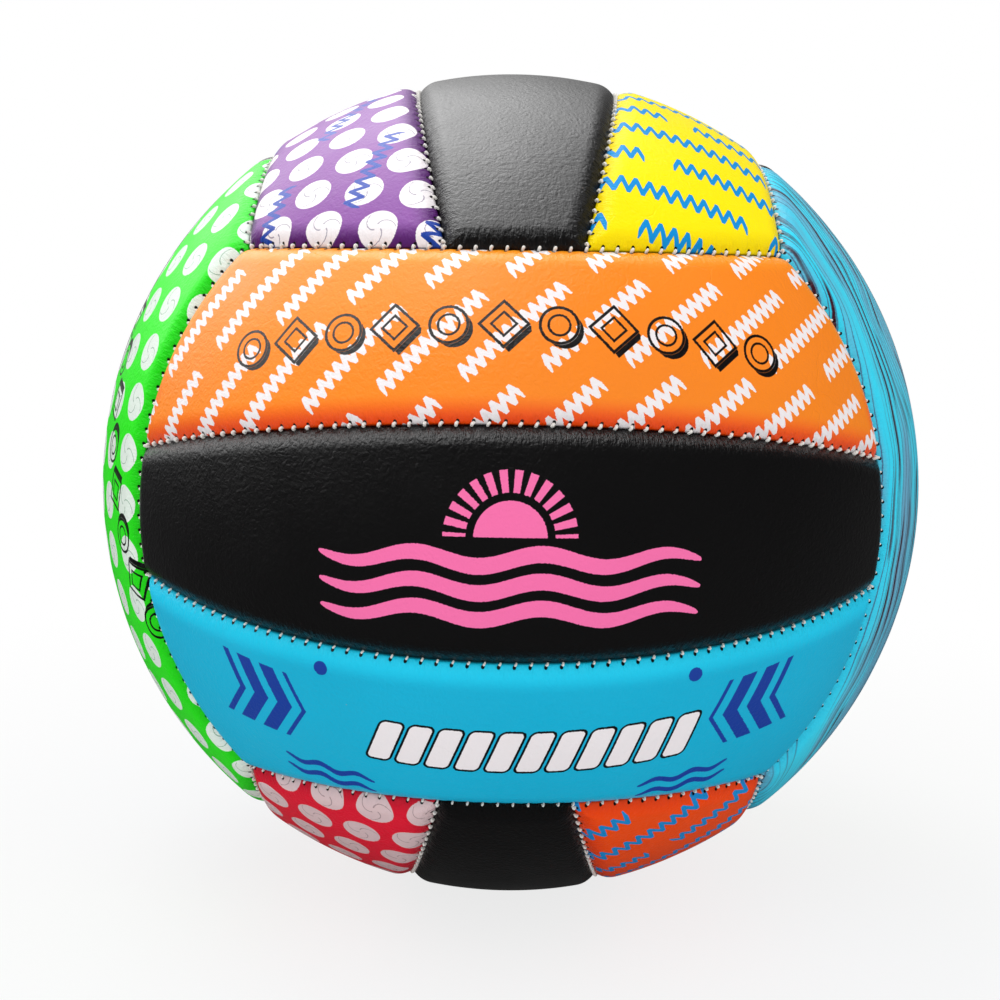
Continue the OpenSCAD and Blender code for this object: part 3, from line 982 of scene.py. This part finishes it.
# %% [markdown]
# Every strip has a printed skin, foam bonded behind it and a lining cloth behind the foam, all from the one
# tree. The foam follows the rolled edge on its outside and is level inside, and the lining is level on both
# sides. A strip turned half a turn about its face makes the one on the other side.

# %% The layers of a strip
FOAM_TOP = SKIN_T + GLUE_T
LINING_TOP = FOAM_TOP + FOAM_T + GLUE_T
BEHIND = {"Cells Along": 72, "Cells Across": 18, "Wall": 0.0, "Flat Below": 1.0,
          "Seam Gap": SEAM_GAP + 2 * FOAM_TOP}
LAYERS = {
    "skin": {},
    "foam": {**BEHIND, "Top Depth": FOAM_TOP, "Skin Thickness": FOAM_T, "Hem Depth": FOAM_TOP + FOAM_T,
             "Edge Radius": EDGE_R - FOAM_TOP},
    "lining": {**BEHIND, "Top Depth": LINING_TOP, "Skin Thickness": LINING_T, "Edge Width": 0.0,
               "Hem Depth": LINING_TOP + LINING_T, "Pucker": 0.0, "Waviness": 0.0},
}


def make_layer(face, index, name, layer, material):
    """One layer of one strip. Strip 1 of a face is its middle one."""
    along, across, out, _ = FACES[face]
    sign = -1 if index == 2 else 1
    values = {
        "Print Turn": float(sign), "Face Along": tuple(sign * a for a in along),
        "Face Across": tuple(sign * a for a in across), "Face Out": out, "Material": material,
        "Seed": float(3 * list(FACES).index(face) + index), **LAYERS[layer],
    }
    if index != 1:
        values |= {"Near Seam Angle": STRIP_ANGLE, "End Start": MEETING, "End Stop": EDGE_TURN,
                   "Middle Angle": OUTER_MIDDLE, "Outer Strip": 1.0}
    elif face == VALVE_FACE:
        values["Valve Hole Radius"] = VALVE_HOLE_R
    return piece_from_tree(f"{face}_{name}_{layer}_piece", shape, values)


# %% Make the skins, the foam and the lining
panels, backings = [], []
for face, (_, _, _, strips) in FACES.items():
    for index, (name, colour) in enumerate(strips.items()):
        panel = make_layer(face, index, name, "skin", SKINS[colour])
        panels.append(stand_in(panel, f"{face}_{name}_panel", colour.split("_")[0] + "_skin"))
        foam = make_layer(face, index, name, "foam", FINISHES["foam"])
        stand_in(foam, f"{face}_{name}_foam", "foam")
        lining = make_layer(face, index, name, "lining", FINISHES["lining"])
        backings += [foam, stand_in(lining, f"{face}_lining", "lining_cloth")]
print(len(panels), "skins of", len(panels[0].data.polygons), "faces and", len(backings), "backings of",
      len(backings[0].data.polygons))

# %% Make the stitches of each face
USUAL_BEADS = (0.8, 0.8)
BEAD_SIZES = {("front", "strip"): (1.0, 0.66), ("front", "edge"): (0.92, 0.66)}
SEAM_KINDS = {
    "strip": (STRIP_ANGLE, {}),
    "edge": (0.0, {"Stitches": EDGE_STITCHES, "Seam Turn": EDGE_TURN, "Latitude": EDGE_LATITUDE}),
}
stitches = []
for face, (along, across, out, _) in FACES.items():
    for kind, (angle, seam) in SEAM_KINDS.items():
        first, second = BEAD_SIZES.get((face, kind), USUAL_BEADS)
        piece = piece_from_tree(f"{face}_{kind}_stitches", sewing, {
            "Seam Middle": tuple(Vector(across) * math.sin(angle) + Vector(out) * math.cos(angle)),
            "Seam Pole": tuple(Vector(across) * math.cos(angle) - Vector(out) * math.sin(angle)),
            "Seam Along": along, "Face Out": out, "Material": FINISHES["thread"],
            "First Size": first, "Second Size": second, **seam})
        stitches.append(stand_in(piece, f"{face}_{kind}_threads", "seam_thread"))
print(len(stitches), "stitch pieces of", len(stitches[0].data.polygons), "faces")

# %% [markdown]
# ## The bladder and the patch
# Both are shells round the valve's axis, so both are turned on a lathe: a profile runs up the outside and
# back down the inside, and each of its points becomes a ring. The bladder was moulded in two halves, and a
# fine raised line stays where they met. The patch is a disc of cloth with a rim that the glue pressed thin.

# %% A lathe for shells
TURN_STEPS, HALF_STEPS, PATCH_STEPS = 144, 48, 26
BLADDER_R, BLADDER_T = BALL_R - HEM_DEPTH - GLUE_T, 0.5 * MM
MOULD_LINE, MOULD_LINE_W = 0.06 * MM, 1.2 * MM
PATCH_R, PATCH_T = BALL_R - LINING_TOP - LINING_T - GLUE_T, 0.4 * MM
PATCH_REACH, PATCH_RIM = 19 * MM, 0.15 * MM
SHARP = math.radians(40)


def turned_shell(name, outside, inside, angles, relief, finish, slot):
    """A shell between two radii, through these angles from the axis. relief raises its outside."""
    profile = [(a, outside + relief(a)) for a in angles] + [(a, inside) for a in reversed(angles)]
    corners, rings = [], []
    for angle, distance in profile:
        steps = 1 if math.sin(angle) < 1e-9 else TURN_STEPS
        rings.append([len(corners) + i for i in range(steps)])
        for turn in [2 * math.pi * i / steps for i in range(steps)]:
            corners.append((distance * math.sin(angle) * math.cos(turn), distance * math.cos(angle),
                            distance * math.sin(angle) * math.sin(turn)))
    next_rings = rings[1:] + ([] if len(rings[0]) == 1 else rings[:1])
    faces = []
    for ring, upper in zip(rings, next_rings):
        for i in range(TURN_STEPS):
            j = (i + 1) % TURN_STEPS
            face = [ring[j % len(ring)], ring[i % len(ring)], upper[i % len(upper)], upper[j % len(upper)]]
            faces.append(list(dict.fromkeys(face)))
    mesh = bpy.data.meshes.new(name)
    mesh.from_pydata(corners, [], faces)
    mesh.shade_smooth()
    mesh.set_sharp_from_angle(angle=SHARP)
    mesh.materials.append(FINISHES[finish])
    return stand_in(placed(f"{name}_piece", mesh), name, slot)


# %% Turn the bladder and the patch
def mould_line(angle):
    """How far the line between the bladder's two halves stands out."""
    return MOULD_LINE * max(0, 1 - abs(angle - math.pi / 2) * BLADDER_R / (MOULD_LINE_W / 2))


def pressed_rim(angle):
    """How far the patch thins over the last millimetre to its rim, so below zero there."""
    return -PATCH_RIM * max(0, 1 - (PATCH_REACH - PATCH_R * math.sin(angle)) / MM)


def angles_between(start, stop, steps):
    return [start + (stop - start) * i / steps for i in range(steps + 1)]


half_line = MOULD_LINE_W / 2 / BLADDER_R
bladder_hole = math.asin(VALVE_HOLE_R / (BLADDER_R - BLADDER_T))
far_half = angles_between(math.pi, math.pi / 2 + half_line, HALF_STEPS)
near_half = angles_between(math.pi / 2 - half_line, bladder_hole, HALF_STEPS)
bladder = turned_shell("bladder", BLADDER_R, BLADDER_R - BLADDER_T, far_half + [math.pi / 2] + near_half,
                       mould_line, "bladder", "bladder_rubber")
patch_edge, patch_hole = math.asin(PATCH_REACH / PATCH_R), math.asin(VALVE_HOLE_R / (PATCH_R - PATCH_T))
cloth_patch = turned_shell("valve_patch", PATCH_R, PATCH_R - PATCH_T,
                           angles_between(patch_edge, patch_hole, PATCH_STEPS), pressed_rim, "patch",
                           "patch_cloth")
print("bladder of", len(bladder.data.polygons), "faces, patch of", len(cloth_patch.data.polygons))

# %% [markdown]
# ## Finishes on the CAD's own solids
# The valve's seat and core are moulded rubber with real sizes, so they keep their CAD meshes.

# %% Dress the CAD nodes
for name, finish in (("valve_seat", "seat"), ("valve_core", "core")):
    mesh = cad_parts[name].data
    mesh.materials.clear()
    mesh.materials.append(FINISHES[finish])
print("two of", len(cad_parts), "CAD nodes keep their own meshes")

# %% [markdown]
# ## Table and background
# The ball lies on a white table in front of white paper. The camera sees the table as nearly white by
# itself, so it blends into the background, but a part of it stays plain paint, which shows the soft shadow.
# Its white share grows with the distance from the ball, so its far edge can't be seen.

# %% Rays that see the background
MIRRORED_ROOM, MIRRORED_CEILING, MIRRORED_PAPER = 0.06, 4.4, 0.4
PURE_WHITE = (1.0, 1.0, 1.0, 1.0)


def background_rays(nodes):
    """1 for the camera's rays, and 1 for those that a surface mirrors or lets through."""
    camera_ray = nodes.node("ShaderNodeLightPath", out="Is Camera Ray")
    return camera_ray, camera_ray.output("Is Glossy Ray").maximum(camera_ray.output("Is Transmission Ray"))


# %% The table
TABLE_HALF, TABLE_PAINT = 6.0, (0.8, 0.8, 0.8, 1.0)
SHADE_START, SHADE_END = 0.12, 0.4
SHADE_SHARE, MIRRORED_SHARE = 0.8, 0.96


def table():
    mesh = bpy.data.meshes.new("table")
    corners = [(x * TABLE_HALF, y * TABLE_HALF, -BALL_R) for x, y in ((-1, -1), (1, -1), (1, 1), (-1, 1))]
    mesh.from_pydata(corners, [], [(0, 1, 2, 3)])
    material, nodes = new_material("white_table")
    spot_x, spot_y, _ = split(nodes.node("ShaderNodeTexCoord", out="Object"))
    seen, mirrored = background_rays(nodes)
    white = step(length(spot_x, spot_y), SHADE_START, SHADE_END, SHADE_SHARE, 1.0)
    share = blend(mirrored * MIRRORED_SHARE, white, seen)
    paper = nodes.node("ShaderNodeBsdfDiffuse", {}, {"Color": TABLE_PAINT})
    glow = nodes.node("ShaderNodeEmission", {}, {
        "Color": PURE_WHITE, "Strength": blend(1.0, MIRRORED_ROOM, mirrored)})
    mixed = nodes.node("ShaderNodeMixShader", {}, {0: share, 1: paper, 2: glow})
    nodes.node("ShaderNodeOutputMaterial", {}, {"Surface": mixed})
    mesh.materials.append(material)
    placed("table", mesh)


table()
print("the table lies", BALL_R, "m under the ball's middle")

# %% [markdown]
# ## Light
# The photograph has soft light from everywhere, more of it from above and the left, and a broad shine on top
# of the ball. A white world that is brighter in front gives the first part, and two large lamps high up and
# a little to the left give the rest. The camera sees the world as plain white. What a surface mirrors is a
# dim room with a bright ceiling up to the left, and with white paper only where a ray goes nearly straight
# past the ball. That keeps the black strips as dark as they look.

# %% The world
ROOM_MEAN, ROOM_SLOPE = 0.88, 0.5
BRIGHT_SIDE, PAPER_SIDE, CEILING_SIDE = (0.15, -0.6, -0.2), (0, 1, 0), (-0.42, 0.2, 0.88)
PAPER_RANGE, CEILING_RANGE = (0.6, 1.0), (0.5, 0.92)


def white_world():
    """Light from all sides, plain white to the camera and a dim room to whatever mirrors it."""
    world = bpy.data.worlds.new("white_studio")
    world.use_nodes = True
    world.node_tree.nodes.clear()
    bpy.context.scene.world = world
    nodes = Nodes(world.node_tree)
    seen, mirrored = background_rays(nodes)
    where = nodes.node("ShaderNodeTexCoord", out="Generated")

    def towards(side):
        return nodes.node("ShaderNodeVectorMath", {"operation": "DOT_PRODUCT"}, {0: where, 1: side}, "Value")

    room = ROOM_MEAN + towards(BRIGHT_SIDE) * ROOM_SLOPE
    paper = step(towards(PAPER_SIDE), *PAPER_RANGE, MIRRORED_ROOM, MIRRORED_PAPER)
    ceiling = step(towards(CEILING_SIDE), *CEILING_RANGE, MIRRORED_ROOM, MIRRORED_CEILING)
    level = blend(blend(room, paper.maximum(ceiling), mirrored), 1.0, seen)
    sky = nodes.node("ShaderNodeBackground", {}, {"Color": PURE_WHITE, "Strength": level})
    nodes.node("ShaderNodeOutputWorld", {}, {"Surface": sky})


white_world()
bpy.context.scene.view_settings.view_transform = "Standard"
print("the darkest side of the room is", round(ROOM_MEAN - ROOM_SLOPE * Vector(BRIGHT_SIDE).length, 2))

# %% The lamps
def lamp(name, place, width, depth, watts):
    data = bpy.data.lights.new(name, "AREA")
    data.shape = "RECTANGLE"
    data.size, data.size_y, data.energy = width, depth, watts
    made = placed(name, data)
    made.location = place
    made.rotation_euler = (-Vector(place)).to_track_quat("-Z", "Y").to_euler()


lamp("top_softbox", (-0.26, 0.2, 0.93), width=0.5, depth=0.56, watts=2.9)
lamp("front_softbox", (-0.2, -0.5, 0.85), width=0.6, depth=0.6, watts=1.6)

# %% [markdown]
# ## Camera
# The camera's place came from fitting the seams' circles to the photograph. The picture was taken from close
# by, four ball radii away and 8 degrees above the ball's middle, so little more than a third of the ball
# shows.

# %% The camera
TILT = (-0.22, 7.82, 0.93)
CAMERA_AWAY = 3.9029
BALL_RIGHT, BALL_UP = 0.0254, 0.0418
LENS = 55.417

turn_z, turn_x, turn_y = [Matrix.Rotation(math.radians(angle), 3, axis) for angle, axis in zip(TILT, "ZXY")]
to_ball = (turn_y @ turn_x @ turn_z).transposed()
eye = to_ball @ Vector((-BALL_RIGHT, -CAMERA_AWAY, -BALL_UP)) * BALL_R
axes = Matrix([to_ball @ Vector(axis) for axis in ((1, 0, 0), (0, 0, 1), (0, -1, 0))]).transposed()
camera_data = bpy.data.cameras.new("camera")
camera_data.lens = LENS
camera = placed("camera", camera_data)
camera.matrix_world = Matrix.Translation(eye) @ axes.to_4x4()
bpy.context.scene.camera = camera
print("camera at", [round(value, 3) for value in eye])
